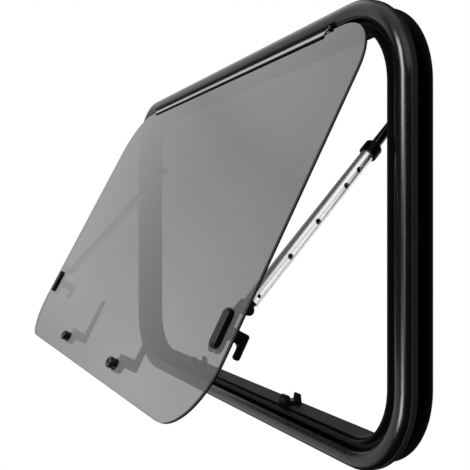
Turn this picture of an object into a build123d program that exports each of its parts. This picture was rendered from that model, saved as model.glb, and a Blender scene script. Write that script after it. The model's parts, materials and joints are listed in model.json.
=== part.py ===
"""Top-hung caravan window, propped open: framed acrylic pane, telescopic stays, latches."""

from build123d import *
import math
import os

# Frame of reference: X runs along the wall, Y goes through the wall into the vehicle, Z is up.
# Sections of the frame are drawn as (inset from the outer edge, height out from the wall face).

# Wall cut-out that the window is made for
cutout_width = 900.0
cutout_height = 550.0
wall_thickness = 25.0
flange_overlap = 17.5

# Outer frame section
corner_radius = 115.0
edge_height = 8.0
bead_step = 1.0
bead_width = 25.0
bead_rise = 11.0
ledge_height = 5.0
ledge_width = 13.0
spigot_wall = 6.0

# Clamp frame behind the wall
clamp_inset = 5.5
clamp_thickness = 4.0
clamp_chamfer = 2.0
clamp_leg_wall = 5.7
clamp_leg_depth = 10.0
clamp_clearance = 0.3

# Seal round the opening
seal_setback = 3.5
seal_base_width = 4.5
seal_lip = 1.0
seal_foot = 4.8
seal_clearance = 0.4
seal_heel = 0.8
seal_crown = 3.0

# Pane, as it lies when shut
pane_thickness = 4.0
pane_sink = 3.8
pane_gap = 2.8
pane_top_gap = 2.1
open_angle = 28.0

# Hinge along the top
hinge_set_back = 1.9
hinge_end_margin = 27.5
hinge_bead_radius = 2.5
hinge_clearance = 0.3
socket_wall = 1.8
socket_mouth_shut = 32.0
socket_mouth_open = 33.0
rail_web = 2.0
rail_web_gap = 0.4
strip_thickness = 2.5
strip_lap = 5.0
strip_end_slope = 8.0
gasket_width = 2.5
gasket_thickness = 2.0

# Telescopic stays, one each side
stay_inset = 21.0
stay_pivot_depth = 24.0
stay_pivot_drop = 31.5
stay_eye_rise = 29.0
stay_eye_gap = 2.75
tube_outer_radius = 8.0
tube_inner_radius = 6.5
tube_start = 11.0
hole_radius = 2.0
hole_drops = (31.5, 57.5, 114.0, 167.0, 224.5)
collar_radius = 11.0
collar_seat = 6.0
collar_head = 11.0
collar_chamfer = 3.0
collar_gap = 1.5
rod_radius = 6.0
rod_neck_radius = 4.5
rod_neck_gap = 2.0
rod_clearance = 0.3
piston_length = 16.0
piston_gap = 4.65
eye_radius = 6.0
eye_width = 10.0
eye_plug_length = 26.0
rivet_radius = 4.0
rivet_head_radius = 4.8
rivet_head_height = 3.2
running_gap = 0.4

# Stay brackets on the sides of the opening
bracket_plate = 3.0
bracket_length = 46.0
bracket_depth = 28.0
bracket_set_in = 15.0
bracket_corner = 8.0
bracket_boss_radius = 8.0
pin_radius = 4.0
pin_clearance = 0.2
pin_head_radius = 6.5
pin_head_height = 2.5

# Side plates on the pane, with a lever each and an outer pad
side_lever_inset = 29.0
side_lever_rise = 31.5
side_plate_top_margin = 2.5
side_plate_shoulder = 25.5
side_plate_shoulder_cut = 8.0
side_plate_tongue = 4.0
side_plate_bottom_margin = 27.0
side_plate_thickness = 3.0
side_plate_inner_margin = 13.5
side_plate_outer_margin = 12.0
lobe_radius = 9.0
side_plate_corner = 2.5
lobe_notch_radius = 3.0
ear_thickness = 3.0
pad_length = 46.0
pad_width = 14.0
pad_height = 4.8
pad_edge = 1.6
side_hub_radius = 8.0
side_hub_height = 11.0
hook_reach = 34.0
hook_fillet = 5.0
neck_height = 14.0
finger_drop = 23.5
finger_width = 8.5
finger_thickness = 6.5
spindle_radius = 5.0
spindle_clearance = 0.3

# Bottom latches
latch_x = 142.0
latch_margin = 29.2
cap_radius = 8.0
cap_height = 7.0
cap_dish = 3.0
cap_rim = 2.0
base_radius = 10.2
base_height = 4.0
hub_radius = 10.0
hub_height = 8.0
arm_start = 1.0
arm_end = 16.5
arm_width = 18.0
blade_offset = 27.0
blade_thickness = 5.0
blade_length = 66.5
blade_tip_width = 10.0

# Catches on the frame that the levers turn behind
catch_run = 31.5
catch_length = 20.0
catch_taper = 2.5
catch_floor = 5.0
catch_height = 14.0
catch_front_depth = 10.0
catch_rear_depth = 4.2
catch_clearance = 5.0
side_catch_length = 26.0
side_catch_plate = 3.0
side_catch_depth = 6.0
side_catch_ramp = 4.0
side_catch_proud = 16.0

# Worked-out sizes
outer_width = cutout_width + 2 * flange_overlap
outer_height = cutout_height + 2 * flange_overlap
half_width = outer_width / 2
half_height = outer_height / 2
bead_end = bead_step + bead_width
face_width = bead_end + ledge_width
seat_height = half_height - flange_overlap / 2
reveal_x = half_width - face_width
reveal_z = half_height - face_width
straight_x = half_width - corner_radius
straight_z = half_height - corner_radius
pane_inner_height = edge_height + bead_rise - pane_sink
pane_outer_height = pane_inner_height + pane_thickness
pane_inner_y = -pane_inner_height
pane_outer_y = -pane_outer_height
pane_inset = bead_end + pane_gap
pane_bottom = pane_inset - half_height
rail_web_top = half_height - bead_end - rail_web_gap
pane_top = rail_web_top - rail_web - pane_top_gap
hinge_y = pane_outer_y - strip_thickness / 2
hinge_z = rail_web_top + hinge_set_back
hinge_axis = Axis((0, hinge_y, hinge_z), (-1, 0, 0))
hinge_length = 2 * (straight_x - hinge_end_margin)
strip_end = pane_top - strip_lap
stay_x = reveal_x - stay_inset
side_lever_x = reveal_x - side_lever_inset
side_lever_z = side_lever_rise - straight_z
latch_z = pane_bottom + latch_margin
catch_x = latch_x + catch_run


def save(name, shape):
    """Writes one piece, lifted so that the origin lies on the bottom run of the flange."""
    export_step(Pos(0, 0, seat_height) * shape, "parts/" + name + ".step")


def save_pair(name, right_shape):
    """Writes a right-hand piece and its mirror image on the left."""
    save("right_" + name, right_shape)
    save("left_" + name, mirror(right_shape, about=Plane.YZ))


def swung_open(shape):
    """Turns a piece of the shut pane out to the propped position."""
    return shape.rotate(hinge_axis, open_angle)


def ring(section):
    """Carries a section round the outline of the window, as straight runs and quarter turns."""
    bottom = Plane(origin=(0, 0, -half_height), x_dir=(0, 0, 1), z_dir=(1, 0, 0))
    corner = Plane(origin=(straight_x, 0, -half_height), x_dir=(0, 0, 1), z_dir=(1, 0, 0))
    side = Plane(origin=(half_width, 0, -straight_z), x_dir=(-1, 0, 0), z_dir=(0, 0, 1))
    quarter = extrude(bottom * section, amount=straight_x)
    quarter += revolve(corner * section, Axis((straight_x, 0, -straight_z), (0, -1, 0)), 90)
    quarter += extrude(side * section, amount=straight_z)
    half = quarter + mirror(quarter, about=Plane.XY)
    return half + mirror(half, about=Plane.YZ)


def along_x(section, length):
    """Extrudes a section, drawn as (Y, Z), evenly to both sides of the middle."""
    return extrude(Plane.YZ * section, amount=length / 2, both=True)


def outer_frame():
    bead_crest = (bead_step + bead_width / 2, edge_height + bead_rise)
    spigot_inset = face_width - spigot_wall
    outline = Polyline(
        (bead_end, edge_height),
        (bead_end, ledge_height),
        (face_width, ledge_height),
        (face_width, -wall_thickness),
        (spigot_inset, -wall_thickness),
        (spigot_inset, 0),
        (0, 0),
        (0, edge_height),
        (bead_step, edge_height),
    )
    bead = ThreePointArc((bead_step, edge_height), bead_crest, (bead_end, edge_height))
    return ring(make_face([outline, bead]))


def clamp_frame():
    back = -wall_thickness - clamp_thickness
    leg_end = face_width - spigot_wall - clamp_clearance
    leg_start = leg_end - clamp_leg_wall
    outline = Polyline(
        (clamp_inset, -wall_thickness),
        (leg_start, -wall_thickness),
        (leg_start, clamp_leg_depth - wall_thickness),
        (leg_end, clamp_leg_depth - wall_thickness),
        (leg_end, -wall_thickness),
        (face_width, -wall_thickness),
        (face_width, back),
        (clamp_inset + clamp_chamfer, back),
        (clamp_inset, back + clamp_chamfer),
        close=True,
    )
    return ring(make_face(outline))


def pane_seal():
    base_end = face_width - seal_setback
    base_start = base_end - seal_base_width
    lip_end = base_end + seal_lip
    shoulder = ledge_height + seal_foot
    crest_height = pane_inner_height - seal_clearance
    crest_middle = (base_start + seal_heel + lip_end) / 2
    outline = Polyline(
        (base_start + seal_heel, shoulder),
        (base_start, ledge_height),
        (base_end, ledge_height),
        (lip_end, shoulder),
        (crest_middle + seal_crown / 2, crest_height),
        (crest_middle - seal_crown / 2, crest_height),
        close=True,
    )
    return ring(make_face(outline))


def hinge_rail():
    """C-shaped socket on a web that stands on the frame's ledge under the top bead."""
    bore = hinge_bead_radius + hinge_clearance
    outer = bore + socket_wall
    centre = Pos(hinge_y, hinge_z)
    mouth_reach = 3 * outer
    shut_side = math.radians(-90 + socket_mouth_shut)
    open_side = math.radians(-90 - open_angle - socket_mouth_open)
    mouth = make_face(Polyline(
        (0, 0),
        (mouth_reach * math.cos(shut_side), mouth_reach * math.sin(shut_side)),
        (0, -2 * mouth_reach),
        (mouth_reach * math.cos(open_side), mouth_reach * math.sin(open_side)),
        close=True,
    ))
    web_front = hinge_y + bore + socket_wall / 2
    web = Pos((web_front - ledge_height) / 2, rail_web_top - rail_web / 2) * Rectangle(
        -ledge_height - web_front, rail_web
    )
    socket = centre * (Circle(outer) - mouth) + web
    return along_x(socket - centre * Circle(bore), hinge_length)


def hinge_profile():
    bead = along_x(Pos(hinge_y, hinge_z) * Circle(hinge_bead_radius), hinge_length)
    half_length = hinge_length / 2
    strip = make_face(Polyline(
        (-half_length, hinge_z),
        (half_length, hinge_z),
        (half_length - strip_end_slope, strip_end),
        (-half_length + strip_end_slope, strip_end),
        close=True,
    ))
    plate = extrude(Plane.XZ.offset(-pane_outer_y) * strip, amount=strip_thickness)
    return swung_open(bead + plate)


def hinge_gasket():
    half_length = hinge_length / 2 - strip_end_slope
    bar = Pos(0, strip_end - gasket_width / 2) * Rectangle(2 * half_length, gasket_width)
    return swung_open(extrude(Plane.XZ.offset(-pane_outer_y) * bar, amount=gasket_thickness))


def pane_sheet():
    width = outer_width - 2 * pane_inset
    outline = Pos(0, (pane_top + pane_bottom) / 2) * RectangleRounded(
        width, pane_top - pane_bottom, corner_radius - pane_inset
    )
    for x in (-latch_x, latch_x):
        outline -= Pos(x, latch_z) * Circle(spindle_radius + spindle_clearance)
    sheet = extrude(Plane.XZ.offset(pane_inner_height) * outline, amount=pane_thickness)
    return swung_open(sheet)


# Stay geometry in the (Y, Z) plane: the fixed pivot, the moving eye and the line between them
pivot_y = stay_pivot_depth
pivot_z = straight_z - stay_pivot_drop
shut_eye_y = pane_inner_y + side_plate_thickness + stay_eye_gap + eye_radius
shut_eye_z = side_lever_z + stay_eye_rise
eye_reach = hinge_z - shut_eye_z
eye_offset = shut_eye_y - hinge_y
swing = math.radians(open_angle)
eye_y = hinge_y - eye_reach * math.sin(swing) + eye_offset * math.cos(swing)
eye_z = hinge_z - eye_reach * math.cos(swing) - eye_offset * math.sin(swing)
stay_length = math.hypot(eye_y - pivot_y, eye_z - pivot_z)
shut_length = math.hypot(shut_eye_y - pivot_y, shut_eye_z - pivot_z)
collar_end = shut_length - bracket_boss_radius - collar_gap
tube_end = collar_end - collar_head
piston_start = eye_plug_length + stay_length - shut_length + piston_gap
stay_plane = Plane(
    origin=(stay_x, eye_y, eye_z),
    x_dir=(1, 0, 0),
    z_dir=(0, pivot_y - eye_y, pivot_z - eye_z),
)


def on_stay(distance):
    """Plane across the right stay, this far up from its lower eye."""
    return stay_plane.offset(distance)


def across_stay(distance):
    """Plane that faces out along X at a point of the right stay."""
    point = on_stay(distance).origin
    return Plane(origin=point, x_dir=(0, 1, 0), z_dir=(1, 0, 0))


def stay_tube():
    tube = extrude(
        on_stay(tube_start) * (Circle(tube_outer_radius) - Circle(tube_inner_radius)),
        amount=tube_end - tube_start,
    )
    for drop in hole_drops:
        hole = across_stay(tube_end - drop) * Circle(hole_radius)
        tube -= extrude(hole, amount=2 * tube_outer_radius)
    return tube


def stay_collar():
    """Moulded guide cap on the upper end of the tube, bevelled where the rod leaves it."""
    bore = rod_radius + rod_clearance
    profile = make_face(Polyline(
        (tube_outer_radius, -collar_seat),
        (collar_radius, -collar_seat),
        (collar_radius, collar_head - collar_chamfer),
        (collar_radius - collar_chamfer, collar_head),
        (bore, collar_head),
        (bore, 0),
        (tube_outer_radius, 0),
        close=True,
    ))
    at = Plane(on_stay(tube_end).origin, x_dir=(1, 0, 0), z_dir=on_stay(0).y_dir * -1)
    return revolve(at * profile, Axis(on_stay(0).origin, on_stay(0).z_dir), 360)


def stay_eye():
    """Lower end fitting: a plug in the tube and a flat eye with its rivet."""
    plug = extrude(on_stay(0) * Circle(tube_inner_radius), amount=eye_plug_length)
    eye = extrude(across_stay(0) * Circle(eye_radius), amount=eye_width / 2, both=True)
    head = extrude(
        across_stay(0) * Circle(rivet_head_radius), amount=-(eye_width / 2 + rivet_head_height)
    )
    boss = extrude(across_stay(0) * Circle(rivet_radius), amount=eye_width / 2 + rivet_head_height)
    return plug + eye + head + boss


def stay_rod():
    """Rod that hangs on the frame's pin and runs in the tube on a piston."""
    rod_start = piston_start + piston_length
    rod_end = stay_length - bracket_boss_radius - rod_neck_gap
    rod = extrude(on_stay(rod_start) * Circle(rod_radius), amount=rod_end - rod_start)
    neck = extrude(on_stay(rod_end) * Circle(rod_neck_radius), amount=stay_length - rod_end)
    piston = extrude(
        on_stay(piston_start) * Circle(tube_inner_radius - rod_clearance), amount=piston_length
    )
    eye = extrude(across_stay(stay_length) * Circle(eye_radius), amount=eye_width / 2, both=True)
    bore = extrude(
        across_stay(stay_length) * Circle(pin_radius + pin_clearance), amount=eye_width, both=True
    )
    return rod + neck + piston + eye - bore


def stay_bracket():
    """Plate on the side of the opening, with the pin that the rod hangs on."""
    face = Plane(origin=(reveal_x, pivot_y, pivot_z), x_dir=(0, 1, 0), z_dir=(-1, 0, 0))
    footprint = Pos(bracket_set_in - pivot_y, 0) * RectangleRounded(
        bracket_depth, bracket_length, bracket_corner
    )
    plate = extrude(face * footprint, amount=bracket_plate)
    eye_face = reveal_x - stay_x - eye_width / 2 - running_gap
    far_face = reveal_x - stay_x + eye_width / 2 + running_gap
    boss = extrude(face * Circle(bracket_boss_radius), amount=eye_face)
    pin = extrude(face * Circle(pin_radius), amount=far_face)
    head = extrude(face.offset(far_face) * Circle(pin_head_radius), amount=pin_head_height)
    return plate + boss + pin + head


def side_lever_plane(height):
    """Plane on the right side lever's axis, this far in from the pane's inner face."""
    return Plane(
        origin=(side_lever_x, pane_inner_y + height, side_lever_z), x_dir=(1, 0, 0), z_dir=(0, 1, 0)
    )


def side_plate():
    """Base on the pane's inner face that carries the stay's ear and the side lever."""
    face = Plane(origin=(0, pane_inner_y, 0), x_dir=(1, 0, 0), z_dir=(0, 1, 0))
    inner_edge = side_lever_x - side_plate_inner_margin
    outer_edge = stay_x + side_plate_outer_margin
    middle_x = (inner_edge + outer_edge) / 2
    ear_x = stay_x + eye_width / 2 + rivet_head_height + running_gap
    top = shut_eye_z + eye_radius + side_plate_top_margin
    shoulder = side_lever_z + side_plate_shoulder
    bottom = side_lever_z - side_plate_bottom_margin
    body = make_face(Polyline(
        (inner_edge, -bottom),
        (outer_edge, -bottom),
        (outer_edge, -top),
        (ear_x - side_plate_tongue, -top),
        (stay_x - side_plate_tongue, -shoulder),
        (inner_edge + side_plate_shoulder_cut, -shoulder),
        (inner_edge, side_plate_shoulder_cut - shoulder),
        close=True,
    ))
    rows = body.vertices().group_by(Axis.Y)
    body = fillet(rows[0], side_plate_corner)
    body = fillet(body.vertices().group_by(Axis.Y)[-1], lobe_radius)
    notch = Pos(middle_x, -bottom) * Circle(lobe_notch_radius)
    plate = extrude(face * (body - notch), amount=side_plate_thickness)
    ear_plane = Plane(origin=(ear_x, shut_eye_y, shut_eye_z), x_dir=(0, 1, 0), z_dir=(1, 0, 0))
    foot = pane_inner_y - shut_eye_y
    ear = extrude(ear_plane * Circle(eye_radius), amount=ear_thickness)
    ear += extrude(
        ear_plane * (Pos(foot / 2, 0) * Rectangle(-foot, 2 * eye_radius)), amount=ear_thickness
    )
    spindle = extrude(
        side_lever_plane(0) * Circle(spindle_radius), amount=side_plate_thickness + side_hub_height / 2
    )
    return swung_open(plate + ear + spindle)


def outer_pad():
    """Oval pad on the outside of the pane, over the side plate."""
    face = Plane(
        origin=(stay_x, pane_outer_y, side_lever_z), x_dir=(1, 0, 0), z_dir=(0, -1, 0)
    )
    oval = SlotOverall(pad_length, pad_width, rotation=90)
    pad = extrude(face * oval, amount=pad_height)
    crown = pad.faces().sort_by(Axis.Y)[0]
    return swung_open(chamfer(crown.edges(), min(pad_edge, pad_height / 2)))


def side_lever():
    """Hub on the side plate's spindle, a neck that stands in from the pane and a hooked finger."""
    neck_start = side_plate_thickness + running_gap
    neck_end = hook_reach - finger_thickness / 2
    neck_top = neck_height / 2
    neck = Pos((neck_start + neck_end) / 2, 0) * Rectangle(neck_end - neck_start, neck_height)
    finger = Pos(neck_end, (neck_top - finger_drop) / 2) * SlotOverall(
        neck_top + finger_drop, finger_thickness, rotation=90
    )
    hook = neck + finger
    crook = hook.vertices().sort_by_distance((hook_reach - finger_thickness, -neck_top, 0))[0]
    side_view = Plane(
        origin=(side_lever_x, pane_inner_y, side_lever_z), x_dir=(0, 1, 0), z_dir=(1, 0, 0)
    )
    lever = extrude(side_view * fillet(crook, hook_fillet), amount=finger_width / 2, both=True)
    lever += extrude(side_lever_plane(neck_start) * Circle(side_hub_radius), amount=side_hub_height)
    bore = extrude(
        side_lever_plane(neck_start) * Circle(spindle_radius + spindle_clearance),
        amount=side_hub_height / 2,
    )
    return swung_open(lever - bore)


def latch_plane(height):
    """Plane on the right bottom latch's axis, this far in from the pane's inner face."""
    return Plane(
        origin=(latch_x, pane_inner_y + height, latch_z), x_dir=(1, 0, 0), z_dir=(0, 1, 0)
    )


def latch_cap():
    """Dished round knob on the outside of the pane."""
    profile = make_face(Polyline(
        (0, cap_height - cap_dish),
        (0, 0),
        (cap_radius, 0),
        (cap_radius, cap_height - cap_rim / 2),
        (cap_radius - cap_rim / 2, cap_height),
        (cap_radius - cap_rim, cap_height),
        close=True,
    ))
    centre = latch_plane(-pane_thickness).origin
    drawn = Plane(origin=centre, x_dir=(1, 0, 0), z_dir=(0, 0, -1))
    return swung_open(revolve(drawn * profile, Axis(centre, (0, 1, 0)), 360))


def latch_base():
    """Round base on the pane's inner face, with the spindle that the lever turns on."""
    base = extrude(latch_plane(0) * Circle(base_radius), amount=base_height)
    through = extrude(latch_plane(0) * Circle(spindle_radius), amount=-pane_thickness)
    spindle = extrude(latch_plane(0) * Circle(spindle_radius), amount=base_height + hub_height / 2)
    return swung_open(base + through + spindle)


def latch_lever():
    """Hub, an arm that stands in from the pane, and a long blade that points up."""
    start = latch_plane(base_height + running_gap)
    hub = extrude(start * Circle(hub_radius), amount=hub_height)
    arm_length = blade_offset + blade_thickness - base_height - running_gap
    arm_middle = (arm_start + arm_end) / 2
    arm = extrude(
        start * (Pos(0, -arm_middle) * Rectangle(arm_width, arm_end - arm_start)), amount=arm_length
    )
    blade_plane = latch_plane(blade_offset)
    half = arm_width / 2
    tip = blade_tip_width / 2
    far = arm_end + blade_length - tip
    blade_outline = make_face([
        Polyline((-tip, -far), (-half, -arm_end), (-half, -arm_start), (half, -arm_start),
                 (half, -arm_end), (tip, -far)),
        ThreePointArc((tip, -far), (0, -far - tip), (-tip, -far)),
    ])
    blade = extrude(blade_plane * blade_outline, amount=blade_thickness)
    bore = extrude(
        start * Circle(spindle_radius + spindle_clearance), amount=hub_height / 2 + running_gap
    )
    return swung_open(hub + arm + blade - bore)


def hump(start, end, foot, top):
    """Outline points of one rounded hump, from its start down the slope to its end."""
    shoulder = top - (end - start) / 2
    return [
        Line((start, foot), (start, shoulder)),
        ThreePointArc((start, shoulder), ((start + end) / 2, top), (end, shoulder)),
        Line((end, shoulder), (end, foot)),
    ]


def bottom_catch():
    """Keeper on the sill of the opening: a hump on each side of the slot that takes the blade."""
    slot_start = pane_inner_y + blade_offset - catch_clearance
    slot_end = pane_inner_y + blade_offset + blade_thickness + catch_clearance
    front = slot_start - catch_front_depth
    rear = slot_end + catch_rear_depth
    seat = Plane(origin=(catch_x, 0, -reveal_z), x_dir=(0, 1, 0), z_dir=(1, 0, 0))
    outline = make_face([
        *hump(front, slot_start, catch_floor, catch_height),
        Line((slot_start, catch_floor), (slot_end, catch_floor)),
        *hump(slot_end, rear, catch_floor, catch_height),
        Polyline((rear, catch_floor), (rear, 0), (front, 0), (front, catch_floor)),
    ])
    block = extrude(seat * outline, amount=catch_length / 2, both=True)
    half = catch_length / 2
    front_view = make_face(Polyline(
        (catch_x - half, -reveal_z),
        (catch_x + half, -reveal_z),
        (catch_x + half - catch_taper, catch_height - reveal_z),
        (catch_x - half + catch_taper, catch_height - reveal_z),
        close=True,
    ))
    return block & extrude(Plane.XZ.offset(-rear) * front_view, amount=rear - front)


def side_catch():
    """Keeper on the side of the opening: a nose with a ramp that the side lever's finger turns behind."""
    seat = Plane(origin=(reveal_x, 0, side_lever_z), x_dir=(0, 1, 0), z_dir=(0, 0, 1))
    nose_back = pane_inner_y + hook_reach - finger_thickness - catch_clearance
    nose_front = nose_back - side_catch_depth
    outline = make_face(Polyline(
        (nose_front - side_catch_ramp, 0),
        (nose_back, 0),
        (nose_back, side_catch_proud),
        (nose_front, side_catch_proud),
        (nose_front - side_catch_ramp, side_catch_plate),
        close=True,
    ))
    return extrude(seat * outline, amount=side_catch_length / 2, both=True)


os.makedirs("parts", exist_ok=True)
save("outer_frame", outer_frame())
save("clamp_frame", clamp_frame())
save("pane_seal", pane_seal())
save("hinge_rail", hinge_rail())
save("hinge_profile", hinge_profile())
save("hinge_gasket", hinge_gasket())
save("pane_sheet", pane_sheet())
save_pair("stay_bracket", stay_bracket())
save_pair("stay_rod", stay_rod())
save_pair("stay_tube", stay_tube())
save_pair("stay_collar", stay_collar())
save_pair("stay_eye", stay_eye())
save_pair("side_plate", side_plate())
save_pair("outer_pad", outer_pad())
save_pair("side_lever", side_lever())
save_pair("latch_cap", latch_cap())
save_pair("latch_base", latch_base())
save_pair("latch_lever", latch_lever())
save_pair("bottom_catch", bottom_catch())
save_pair("side_catch", side_catch())
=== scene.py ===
"""Looks of the top-hung caravan window: finishes, small fasteners, studio light and camera."""

import json
import math

import bmesh
import bpy
from mathutils import Matrix, Vector


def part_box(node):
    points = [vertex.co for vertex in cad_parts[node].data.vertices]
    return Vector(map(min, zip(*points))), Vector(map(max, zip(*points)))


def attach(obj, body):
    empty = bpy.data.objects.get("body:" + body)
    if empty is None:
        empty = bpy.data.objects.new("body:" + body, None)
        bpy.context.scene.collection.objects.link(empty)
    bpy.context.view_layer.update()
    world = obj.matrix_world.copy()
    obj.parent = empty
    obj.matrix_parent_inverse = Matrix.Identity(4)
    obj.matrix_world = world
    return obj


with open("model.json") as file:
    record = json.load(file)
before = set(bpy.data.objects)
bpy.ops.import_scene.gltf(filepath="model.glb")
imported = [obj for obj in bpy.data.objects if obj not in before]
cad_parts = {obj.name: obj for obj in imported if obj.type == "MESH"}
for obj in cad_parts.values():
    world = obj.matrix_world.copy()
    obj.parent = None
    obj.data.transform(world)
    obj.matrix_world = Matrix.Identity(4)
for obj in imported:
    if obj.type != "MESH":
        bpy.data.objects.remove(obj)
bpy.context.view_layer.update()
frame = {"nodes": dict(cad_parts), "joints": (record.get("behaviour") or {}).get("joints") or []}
nodes = frame["nodes"]
joints = {joint["name"]: joint for joint in frame["joints"]}

# Places and directions on the window, in metres like all lengths here
open_angle = math.radians(28.0)
hinge = Vector(joints["pane_hinge"]["pos_m"])
pane_in = Vector((0.0, math.cos(open_angle), -math.sin(open_angle)))
pane_down = Vector((0.0, -math.sin(open_angle), -math.cos(open_angle)))
stay_pivot = Vector(joints["right_stay_pivot"]["pos_m"])
stay_down = Vector(joints["right_stay_slide"]["axis"])
frame_low, frame_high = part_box("outer_frame")
clamp_low, clamp_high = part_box("clamp_frame")
middle_height = (frame_low.z + frame_high.z) / 2
centre = Vector((0.0, 0.0, middle_height))
right_rail = Vector((frame_high.x, frame_low.y, middle_height))

# Frame paint, as (on the polished bead, behind it)
bead_rise = 0.011
bead_blend = 0.0006
paint_roughness = (0.24, 0.60)
paint_specular = (0.5, 0.13)
orange_peel = 0.015
orange_peel_size = 0.004
orange_peel_depth = 0.000004

# Clamp frame plastic, as (on its sides, on its back)
clamp_blend = 0.0006
clamp_roughness = (0.58, 0.44)
clamp_specular = (0.06, 0.40)
clamp_unevenness = 0.06
clamp_grain_size = 0.0006
clamp_grain_depth = 0.00001

# Colour clouds, grain and tint that the finishes share
cool_tint = 1.02
ring_levels = (0.0008, 0.0016)
ring_cloud = 0.05
small_cloud = 0.03
fine_detail = 3.0
brush_stretch = 60.0

# Smoked pane, with its outer face at an offset from the hinge's axis
pane_thickness = 0.004
pane_offset = 0.00125
acrylic_ior = 1.49
thin_sheet_ior = 1.01
coat_roughness = 0.01
tint_length = 0.53
tint_levels = (0.01, 0.26)
tint_cloud = 0.2
tint_cloud_share = 0.03
slant_range = (0.63, 0.78)
slant_shade = 0.4
wipe_stretch = (1.0, 5.0, 5.0)
wipe_size = 0.01
wipe_detail = 4.0
wipe_roughness = (0.01, 0.035)
face_range = (0.6, 0.9)

# Cut edge of the pane, which turns from grey to black at a share of the thickness
edge_levels = (0.11, 0.003)
edge_start = 0.45
edge_blend = 0.1
edge_roughness = 0.4
edge_specular = 0.1

# Soft edges and moulded shapes
plain_edge = 0.0004
tube_edge = 0.0002
bracket_edge = 0.0003
collar_edge = 0.0008
edge_angle = math.radians(35)
edge_segments = 2
weld_reach = 0.000002
moulded_mesh = 0.0006
small_mesh = 0.0004
smoothing = 0.5
smoothing_passes = 14

# Pan head screws, with rings of (radius, height, swing of the cross recess), and their places
screw_rings = (
    (0.0033, 0.0, 0.0), (0.0033, 0.0005, 0.0), (0.0029, 0.0012, 0.0), (0.0021, 0.0017, 0.0),
    (0.0016, 0.0018, 0.0), (0.00115, 0.0018, 0.38), (0.00085, 0.0009, 0.38), (0.00005, 0.0007, 0.0),
)
recess_arms = 4
screw_inset = 0.012
clamp_corner = 0.1095
screws_along = 6
screws_up = 3
bracket_face = 0.018
bracket_screw_shift = -0.015
bracket_screw_rise = 0.016
plate_thickness = 0.003
plate_screw_reach = 0.432
plate_screw_places = (0.395, 0.4105)

# Bushings in the holes of the stay tubes, closed by a black floor that is painted shade inside the hole:
# places down the stay from its pivot, rings of (radius, lift)
tube_radius = 0.008
hole_places = (0.09614, 0.12214, 0.17864, 0.23164)
bushing_and_shade_floor_rings = (
    (0.0034, -0.0003), (0.0033, 0.0002), (0.0029, 0.00025), (0.0022, 0.0001), (0.0019, -0.0012),
)
round_sides = 32
crease_angle = math.radians(40)

# Camera fitted to the photo
camera_place = Vector((1.056, -0.520, middle_height))
camera_turn = math.radians(63.6)
camera_lens = 52.085
camera_sensor = 36.0
camera_near = 0.01

# Studio: what glossy surfaces see of the surroundings, as lobes of (aim, start, end, level)
dark_level = 0.01
fill_level = 0.45
bright_lobes = (
    (Vector((-0.78, -0.25, 0.57)), 0.76, 0.90, 0.95),
    (Vector((-0.72, -0.05, 0.69)), 0.88, 1.00, 1.42),
    (Vector((-0.70, -0.60, -0.40)), 0.66, 0.95, 0.85),
    (Vector((0.0, -0.10, 1.0)), 0.70, 0.97, 0.70),
    (Vector((-0.81, 0.52, 0.25)), 0.90, 0.99, 0.90),
    (Vector((0.50, 0.82, 0.15)), 0.76, 0.86, 1.00),
    (Vector((0.72, -0.05, 0.69)), 0.88, 0.95, 1.25),
    (Vector((0.10, 0.97, -0.20)), 0.80, 0.90, 1.20),
)

# Lamps aimed at the right rail, as (name, offset from it, width, height, level, direction of the height)
rail_lamps = (
    ("front_high_box", Vector((0.64, -1.81, 1.05)), 0.8, 1.5, 14.0, Vector((-0.25, 0.0, 1.0))),
    ("front_strip", Vector((1.34, -1.62, 0.0)), 0.5, 0.9, 3.0, Vector((0.0, 0.0, 1.0))),
    ("front_low_box", Vector((0.52, -1.83, -0.99)), 0.7, 1.1, 13.0, Vector((0.6, 0.0, 0.8))),
)

# Lamp above the window, and lamp aimed at a point down the right stay
top_lamp_offset = Vector((0.3, -0.2, 2.2))
stay_lamp_offset = Vector((1.45, 0.55, -0.10))
stay_lamp_reach = 0.2

# Floor
floor_drop = 1.0
floor_radius = 2.4
floor_fade = 0.4
floor_levels = (0.86, 0.90)
floor_cloud = 0.2
floor_roughness = 0.8
floor_segments = 96


def new_material(name, **values):
    """A material with its node tree and its main shader, where each value sets the input of that name."""
    material = bpy.data.materials.new(name)
    material.use_nodes = True
    tree = material.node_tree
    shader = tree.nodes["Principled BSDF"]
    for key, value in values.items():
        shader.inputs[key.replace("_", " ")].default_value = value
    return material, tree, shader


def add_node(tree, kind, **settings):
    """A shader node with its settings, where a setting named like an input sets that input."""
    made = tree.nodes.new(kind)
    for key, value in settings.items():
        if hasattr(made, key):
            setattr(made, key, value)
        else:
            made.inputs[key.replace("_", " ")].default_value = value
    return made


def combine(tree, operation, *values):
    """Outcome of a sum, product or the like, of values that are links or plain numbers."""
    made = add_node(tree, "ShaderNodeMath", operation=operation)
    for socket, value in zip(made.inputs, values):
        if isinstance(value, float):
            socket.default_value = value
        else:
            tree.links.new(value, socket)
    return made.outputs["Value"]


def along(tree, vector, direction):
    """Reach of a vector along a direction."""
    made = add_node(tree, "ShaderNodeVectorMath", operation="DOT_PRODUCT")
    made.inputs[1].default_value = direction
    tree.links.new(vector, made.inputs[0])
    return made.outputs["Value"]


def place_of(tree, stretch=(1.0, 1.0, 1.0), turn=0.0):
    """Position on the piece in metres, turned about X where a grain runs at a slant, then drawn out."""
    place = add_node(tree, "ShaderNodeTexCoord")
    mapping = add_node(tree, "ShaderNodeMapping", vector_type="TEXTURE")
    mapping.inputs["Rotation"].default_value = (turn, 0.0, 0.0)
    mapping.inputs["Scale"].default_value = stretch
    tree.links.new(place.outputs["Object"], mapping.inputs["Vector"])
    return mapping.outputs["Vector"]


def noise(tree, place, size, detail=2.0):
    """Noise with spots of about this size in metres."""
    made = add_node(tree, "ShaderNodeTexNoise", Scale=1.0 / size, Detail=detail)
    tree.links.new(place, made.inputs["Vector"])
    return made.outputs["Fac"]


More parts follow.
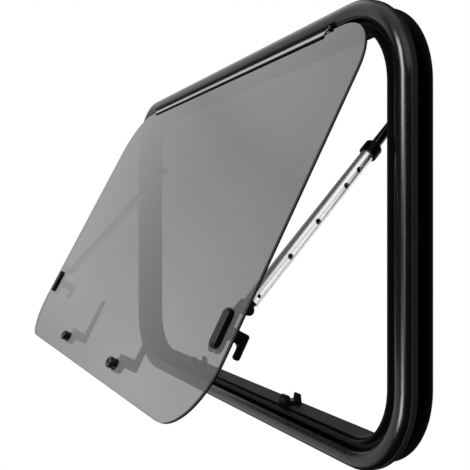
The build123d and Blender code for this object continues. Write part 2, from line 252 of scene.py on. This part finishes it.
def spread(tree, value, low, high, start=0.3, end=0.7, curve="LINEAR"):
    """Maps a range on another, by default the middle of a noise's range."""
    made = add_node(tree, "ShaderNodeMapRange", From_Min=start, From_Max=end, To_Min=low, To_Max=high)
    made.interpolation_type = curve
    tree.links.new(value, made.inputs["Value"])
    return made.outputs["Result"]


def blend_grey(tree, value, dark, light):
    """Colour between two levels of a faintly cool grey."""
    made = add_node(tree, "ShaderNodeMix", data_type="RGBA")
    for socket, level in ((made.inputs[6], dark), (made.inputs[7], light)):
        socket.default_value = (level, level, level * cool_tint, 1.0)
    tree.links.new(value, made.inputs["Factor"])
    return made.outputs[2]


def cloud_colour(tree, shader, size, levels, detail=fine_detail):
    """Base colour that varies in soft clouds of this size between two levels of grey."""
    cloud = noise(tree, place_of(tree), size, detail)
    tree.links.new(blend_grey(tree, spread(tree, cloud, 0.0, 1.0), *levels), shader.inputs["Base Color"])


def roughen(tree, shader, height, depth):
    """Fine relief of this depth in metres."""
    bump = add_node(tree, "ShaderNodeBump", Strength=1.0, Distance=depth)
    tree.links.new(height, bump.inputs["Height"])
    tree.links.new(bump.outputs["Normal"], shader.inputs["Normal"])


def finish(name, levels, roughness, grain_size, grain_depth, metal=0.0, specular=0.5,
           stretch=(1.0, 1.0, 1.0), turn=0.0):
    """Finish with uneven colour and gloss and a fine grain, stretched along a direction if brushed."""
    material, tree, shader = new_material(name, Metallic=metal, Specular_IOR_Level=specular)
    cloud_colour(tree, shader, small_cloud, levels)
    grain = noise(tree, place_of(tree, stretch, turn), grain_size, fine_detail)
    tree.links.new(spread(tree, grain, *roughness), shader.inputs["Roughness"])
    roughen(tree, shader, grain, grain_depth)
    return material


def two_gloss(name, change, roughness, specular, grain_size, unevenness, grain_depth):
    """Black finish whose gloss changes at a depth through the wall, from the first value to the second."""
    material, tree, shader = new_material(name)
    place = add_node(tree, "ShaderNodeTexCoord")
    axes = add_node(tree, "ShaderNodeSeparateXYZ")
    tree.links.new(place.outputs["Object"], axes.inputs["Vector"])
    shine = spread(tree, axes.outputs["Y"], *specular, *change)
    tree.links.new(shine, shader.inputs["Specular IOR Level"])
    dull = spread(tree, axes.outputs["Y"], *roughness, *change)
    grain = noise(tree, place_of(tree), grain_size)
    uneven = combine(tree, "ADD", dull, spread(tree, grain, -unevenness, unevenness))
    tree.links.new(uneven, shader.inputs["Roughness"])
    cloud_colour(tree, shader, ring_cloud, ring_levels)
    roughen(tree, shader, grain, grain_depth)
    return material


def painted_frame():
    """Paint that is polished on the bead standing out from the wall, satin on the ledge and reveal."""
    foot = frame_low.y + bead_rise
    change = (foot - bead_blend, foot + bead_blend)
    return two_gloss(
        "painted_frame", change, paint_roughness, paint_specular,
        orange_peel_size, orange_peel, orange_peel_depth,
    )


def clamp_plastic():
    """Plastic that is matt on the sides of the clamp frame and satin on the back, which faces the room."""
    change = (clamp_high.y - 2 * clamp_blend, clamp_high.y - clamp_blend)
    return two_gloss(
        "clamp_plastic", change, clamp_roughness, clamp_specular,
        clamp_grain_size, clamp_unevenness, clamp_grain_depth,
    )


def pane_tint(tree, place):
    """Tint that is darkest at the hinge and at a slant, with faint clouds."""
    start = hinge.dot(pane_down)
    depth = along(tree, place.outputs["Object"], pane_down)
    shade = spread(tree, depth, 0.0, 1.0, start, start + tint_length)
    clouds = noise(tree, place_of(tree), tint_cloud)
    uneven = combine(tree, "MULTIPLY_ADD", clouds, tint_cloud_share, shade)
    slant = add_node(tree, "ShaderNodeLayerWeight", Blend=0.5)
    clear = spread(tree, slant.outputs["Facing"], 1.0, slant_shade, *slant_range)
    return blend_grey(tree, combine(tree, "MULTIPLY", uneven, clear), *tint_levels)


def pane_edge(tree, place):
    """Dull cut edge, grey towards the outer face and black towards the inner one."""
    edge = add_node(
        tree, "ShaderNodeBsdfPrincipled", Roughness=edge_roughness, Specular_IOR_Level=edge_specular
    )
    start = hinge.dot(pane_in) + pane_offset + pane_thickness * edge_start
    depth = along(tree, place.outputs["Object"], pane_in)
    cut = spread(tree, depth, 0.0, 1.0, start, start + pane_thickness * edge_blend)
    tree.links.new(blend_grey(tree, cut, *edge_levels), edge.inputs["Base Color"])
    return edge.outputs["BSDF"]


def pane_material():
    """Clear smoked acrylic with faint wipe marks on its faces and a dull cut edge."""
    material, tree, shader = new_material(
        "smoked_pane", Transmission_Weight=1.0, IOR=thin_sheet_ior,
        Coat_Weight=1.0, Coat_IOR=acrylic_ior, Coat_Roughness=coat_roughness,
    )
    place = add_node(tree, "ShaderNodeTexCoord")
    tree.links.new(pane_tint(tree, place), shader.inputs["Base Color"])
    wipes = noise(tree, place_of(tree, wipe_stretch), wipe_size, wipe_detail)
    tree.links.new(spread(tree, wipes, *wipe_roughness), shader.inputs["Roughness"])
    facing = combine(tree, "ABSOLUTE", along(tree, place.outputs["Normal"], pane_in))
    mix = add_node(tree, "ShaderNodeMixShader")
    tree.links.new(spread(tree, facing, 0.0, 1.0, *face_range), mix.inputs["Fac"])
    tree.links.new(pane_edge(tree, place), mix.inputs[1])
    tree.links.new(shader.outputs["BSDF"], mix.inputs[2])
    tree.links.new(mix.outputs["Shader"], tree.nodes["Material Output"].inputs["Surface"])
    return material


# Finishes of the other pieces
matt_black = finish(
    "matt_black", levels=(0.0008, 0.0018), roughness=(0.50, 0.65),
    grain_size=0.0006, grain_depth=0.00004, specular=0.06,
)
rubber = finish(
    "rubber", levels=(0.0010, 0.0020), roughness=(0.50, 0.68),
    grain_size=0.0004, grain_depth=0.00003, specular=0.08,
)
moulded = finish(
    "moulded", levels=(0.0008, 0.0018), roughness=(0.30, 0.42),
    grain_size=0.0005, grain_depth=0.00002, specular=0.06,
)
gloss_moulded = finish(
    "gloss_moulded", levels=(0.0010, 0.0020), roughness=(0.20, 0.28),
    grain_size=0.0020, grain_depth=0.000004,
)
satin_moulded = finish(
    "satin_moulded", levels=(0.0010, 0.0020), roughness=(0.34, 0.44),
    grain_size=0.0020, grain_depth=0.000004, specular=0.18,
)
# Near-black, almost unshiny finish of the bushings, which paints the shade inside the stay tube's holes
painted_hole_shade = finish(
    "painted_hole_shade", levels=(0.001, 0.002), roughness=(0.60, 0.70),
    grain_size=0.0006, grain_depth=0.000002, specular=0.02,
)
gloss_rod = finish(
    "gloss_rod", levels=(0.0010, 0.0020), roughness=(0.08, 0.14),
    grain_size=0.0010, grain_depth=0.000004,
)
zinc = finish(
    "zinc", levels=(0.45, 0.60), roughness=(0.25, 0.40),
    grain_size=0.0004, grain_depth=0.00001, metal=1.0,
)
strip_metal = finish(
    "strip_metal", levels=(0.40, 0.46), roughness=(0.30, 0.40),
    grain_size=0.0008, grain_depth=0.000002, metal=1.0, stretch=(brush_stretch, 1.0, 1.0),
)
tube_metal = finish(
    "tube_metal", levels=(0.88, 0.92), roughness=(0.34, 0.38),
    grain_size=0.0006, grain_depth=0.0000002, metal=1.0, stretch=(1.0, 1.0, brush_stretch),
    turn=math.atan2(stay_down.y, -stay_down.z),
)


def dress(node, material, edge=plain_edge):
    """Gives a node its finish and, by modifiers alone, softly rounded edges."""
    piece = nodes[node]
    piece.data.materials.clear()
    piece.data.materials.append(material)
    if not edge:
        return
    weld = piece.modifiers.new("weld", "WELD")
    weld.merge_threshold = weld_reach
    bevel = piece.modifiers.new("soft_edges", "BEVEL")
    bevel.width = edge
    bevel.segments = edge_segments
    bevel.limit_method = "ANGLE"
    bevel.angle_limit = edge_angle
    bevel.use_clamp_overlap = False
    normals = piece.modifiers.new("even_normals", "WEIGHTED_NORMAL")
    normals.keep_sharp = True


def dress_moulded(node, material, mesh_size=moulded_mesh):
    """Gives a node its finish and, by modifiers alone, the all-round soft shape of a moulding."""
    dress(node, material, edge=0.0)
    piece = nodes[node]
    even = piece.modifiers.new("even_mesh", "REMESH")
    even.mode = "VOXEL"
    even.voxel_size = mesh_size
    even.use_smooth_shade = True
    soft = piece.modifiers.new("soft_shape", "SMOOTH")
    soft.factor = smoothing
    soft.iterations = smoothing_passes


# Finish and edges of every node
dress("outer_frame", painted_frame())
dress("clamp_frame", clamp_plastic())
dress("pane_seal", rubber)
dress("hinge_rail", matt_black)
dress("hinge_profile", strip_metal)
dress("hinge_gasket", rubber)
dress("pane_sheet", pane_material(), edge=0.0)
moulded_parts = (
    "side_lever", "latch_lever", "bottom_catch", "side_catch", "stay_eye", "side_plate", "latch_base",
)
for side in ("left", "right"):
    dress(side + "_stay_tube", tube_metal, tube_edge)
    dress(side + "_stay_rod", gloss_rod, edge=0.0)
    dress(side + "_stay_collar", moulded, collar_edge)
    dress(side + "_stay_bracket", moulded, bracket_edge)
    dress_moulded(side + "_outer_pad", satin_moulded, small_mesh)
    dress_moulded(side + "_latch_cap", gloss_moulded, small_mesh)
    for part in moulded_parts:
        dress_moulded(side + "_" + part, moulded)


def add_turned(name, shapes, material, body):
    """One piece of several round shapes, each a list of rings from its foot to its middle."""
    bm = bmesh.new()
    for rings in shapes:
        loops = [[bm.verts.new(point) for point in ring] for ring in rings]
        for low, high in zip(loops, loops[1:]):
            for i in range(len(low)):
                j = (i + 1) % len(low)
                bm.faces.new((low[i], low[j], high[j], high[i]))
        bm.faces.new(reversed(loops[0]))
        bm.faces.new(loops[-1])
    bmesh.ops.recalc_face_normals(bm, faces=bm.faces)
    for face in bm.faces:
        face.smooth = True
    for line in bm.edges:
        line.smooth = line.calc_face_angle(0.0) < crease_angle
    mesh = bpy.data.meshes.new(name)
    bm.to_mesh(mesh)
    bm.free()
    mesh.materials.append(material)
    piece = bpy.data.objects.new(name, mesh)
    bpy.context.scene.collection.objects.link(piece)
    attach(piece, body)


def angles():
    """Angles of the points round a turned shape."""
    return [2 * math.pi * i / round_sides for i in range(round_sides)]


def evenly(count):
    """Shares spread evenly from -1 to 1."""
    return [2 * i / (count - 1) - 1 for i in range(count)]


def screw(place, out):
    """Rings of a pan head screw with a cross recess, standing on a face."""
    across = out.orthogonal().normalized()
    beside = out.cross(across)
    rings = []
    for radius, height, swing in screw_rings:
        ring = []
        for a in angles():
            reach = radius * (1 + swing * math.cos(recess_arms * a))
            ring.append(place + (across * math.cos(a) + beside * math.sin(a)) * reach + out * height)
        rings.append(ring)
    return rings


def bushing_with_shade_floor(axis_point, side):
    """Rings of a black bushing that lines a hole in the stay tube and follows its round, closed by a black
    floor that paints the shade inside the hole.
    """
    across = stay_down.cross(side)
    rings = []
    for radius, lift in bushing_and_shade_floor_rings:
        ring = []
        for a in angles():
            sideways = radius * math.sin(a)
            rise = math.sqrt((tube_radius + lift) ** 2 - sideways ** 2)
            ring.append(axis_point + stay_down * radius * math.cos(a) + across * sideways + side * rise)
        rings.append(ring)
    return rings


def clamp_screws():
    """Screws round the back of the clamp frame."""
    reach_x = clamp_high.x - screw_inset
    reach_z = (clamp_high.z - clamp_low.z) / 2 - screw_inset
    corner_x = clamp_high.x - clamp_corner
    corner_z = reach_z + screw_inset - clamp_corner
    diagonal = (clamp_corner - screw_inset) * math.sqrt(0.5)
    spots = []
    for sign in (-1, 1):
        spots += [(corner_x * share, sign * reach_z) for share in evenly(screws_along)]
        spots += [(sign * reach_x, corner_z * share) for share in evenly(screws_up)]
        spots += [(sign * (corner_x + diagonal), end * (corner_z + diagonal)) for end in (-1, 1)]
    inside = Vector((0.0, 1.0, 0.0))
    return [screw(Vector((x, clamp_high.y, middle_height + z)), inside) for x, z in spots]


def bracket_screws(pivot, outward):
    """Two screws, one above the other, in the plate of a stay bracket."""
    plate = pivot + outward * bracket_face + Vector((0.0, bracket_screw_shift, 0.0))
    return [screw(plate + Vector((0.0, 0.0, end * bracket_screw_rise)), -outward) for end in (-1, 1)]


def plate_screws(outward):
    """Two screws side by side in a side plate of the pane."""
    face = pane_offset + pane_thickness + plate_thickness
    plate = hinge + pane_down * plate_screw_reach + pane_in * face
    return [screw(plate + outward * place, pane_in) for place in plate_screw_places]


def bushings_with_shade_floors(pivot, outward):
    """Bushings in the open holes of a stay tube, whose closed black floors paint the shade inside the
    holes.
    """
    return [bushing_with_shade_floor(pivot + stay_down * reach, outward) for reach in hole_places]


# Screws, and bushings whose black floors are painted shade in the holes, on their bodies
add_turned("clamp_screws", clamp_screws(), zinc, "frame")
for side, sign in (("left", -1), ("right", 1)):
    outward = Vector((sign, 0.0, 0.0))
    pivot = Vector(joints[side + "_stay_pivot"]["pos_m"])
    add_turned(side + "_bracket_screws", bracket_screws(pivot, outward), zinc, "frame")
    add_turned(side + "_plate_screws", plate_screws(outward), zinc, "pane")
    add_turned(side + "_bushings_with_shade_floors", bushings_with_shade_floors(pivot, outward), painted_hole_shade, side + "_tube")


def studio_world():
    """White to the eye and through the pane; in mirror images dark, apart from the bright lobes."""
    world = bpy.data.worlds.new("studio")
    bpy.context.scene.world = world
    world.use_nodes = True
    tree = world.node_tree
    direction = add_node(tree, "ShaderNodeTexCoord").outputs["Generated"]
    mirrored = dark_level
    for aim, start, end, level in bright_lobes:
        facing = along(tree, direction, aim.normalized())
        lobe = spread(tree, facing, dark_level, level, start, end, "SMOOTHSTEP")
        mirrored = combine(tree, "MAXIMUM", mirrored, lobe)
    path = add_node(tree, "ShaderNodeLightPath").outputs
    seen = combine(tree, "MAXIMUM", path["Is Camera Ray"], path["Is Transmission Ray"])
    plain = spread(tree, seen, fill_level, 1.0, 0.0, 1.0)
    strength = add_node(tree, "ShaderNodeMix")
    tree.links.new(combine(tree, "GREATER_THAN", path["Glossy Depth"], 0.5), strength.inputs["Factor"])
    tree.links.new(plain, strength.inputs["A"])
    tree.links.new(mirrored, strength.inputs["B"])
    background = tree.nodes["Background"]
    background.inputs["Color"].default_value = (1.0, 1.0, 1.0, 1.0)
    tree.links.new(strength.outputs["Result"], background.inputs["Strength"])


def light_group(name, members, state):
    """Group of nodes that lamps either leave out or light alone."""
    group = bpy.data.collections.new(name)
    for node in members:
        group.objects.link(nodes[node])
    for member in group.collection_objects:
        member.light_linking.link_state = state
    return group


# The pane mirrors only the even surroundings, and one lamp lights the stay tubes alone
all_but_pane = light_group("all_but_pane", ["pane_sheet"], "EXCLUDE")
tubes_only = light_group("tubes_only", ["left_stay_tube", "right_stay_tube"], "INCLUDE")


def softbox(name, aim, offset, width, height, level, upright=Vector((0.0, 0.0, 1.0)), mirrored=True,
            lights=all_but_pane):
    """Rectangular soft light of this brightness, aimed at a point, with its height along a direction."""
    data = bpy.data.lights.new(name, "AREA")
    data.shape = "RECTANGLE"
    data.size = width
    data.size_y = height
    data.energy = level * width * height * math.pi
    light = bpy.data.objects.new(name, data)
    back = offset.normalized()
    side = upright.cross(back).normalized()
    turn = Matrix((side, back.cross(side), back)).transposed()
    light.matrix_world = Matrix.Translation(aim + offset) @ turn.to_4x4()
    light.visible_camera = False
    light.visible_glossy = mirrored
    light.light_linking.receiver_collection = lights
    bpy.context.scene.collection.objects.link(light)


def studio_lamps():
    """Lamps in front of the right rail, a soft one above, and one for the stay tubes."""
    for name, offset, width, height, level, upright in rail_lamps:
        softbox(name, right_rail, offset, width, height, level, upright)
    softbox(
        "top_box", centre, top_lamp_offset, width=2.0, height=1.6, level=1.2,
        upright=Vector((0.0, 1.0, 0.0)), mirrored=False,
    )
    stay = stay_pivot + stay_down * stay_lamp_reach
    softbox("stay_box", stay, stay_lamp_offset, width=0.5, height=0.8, level=1.3, lights=tubes_only)


def studio_floor():
    """Pale round floor well below the window, fading out at its rim."""
    bm = bmesh.new()
    bmesh.ops.create_circle(bm, cap_ends=True, segments=floor_segments, radius=floor_radius)
    mesh = bpy.data.meshes.new("floor")
    bm.to_mesh(mesh)
    bm.free()
    floor = bpy.data.objects.new("floor", mesh)
    floor.location = (0.0, 0.0, frame_low.z - floor_drop)
    bpy.context.scene.collection.objects.link(floor)
    material, tree, shader = new_material("pale_floor", Roughness=floor_roughness)
    cloud_colour(tree, shader, floor_cloud, floor_levels, detail=2.0)
    rim = add_node(tree, "ShaderNodeVectorMath", operation="LENGTH")
    tree.links.new(place_of(tree), rim.inputs[0])
    fade = spread(tree, rim.outputs["Value"], 1.0, 0.0, floor_radius * floor_fade, floor_radius)
    tree.links.new(fade, shader.inputs["Alpha"])
    mesh.materials.append(material)
    floor.visible_glossy = False


def photo_camera():
    """Level camera at the photo's viewing angle."""
    data = bpy.data.cameras.new("photo_camera")
    data.lens = camera_lens
    data.sensor_width = camera_sensor
    data.clip_start = camera_near
    camera = bpy.data.objects.new("photo_camera", data)
    camera.location = camera_place
    camera.rotation_euler = (math.pi / 2, 0.0, camera_turn)
    bpy.context.scene.collection.objects.link(camera)
    bpy.context.scene.camera = camera


# Surroundings, light and view
studio_world()
studio_floor()
studio_lamps()
photo_camera()
bpy.context.scene.view_settings.view_transform = "Standard"
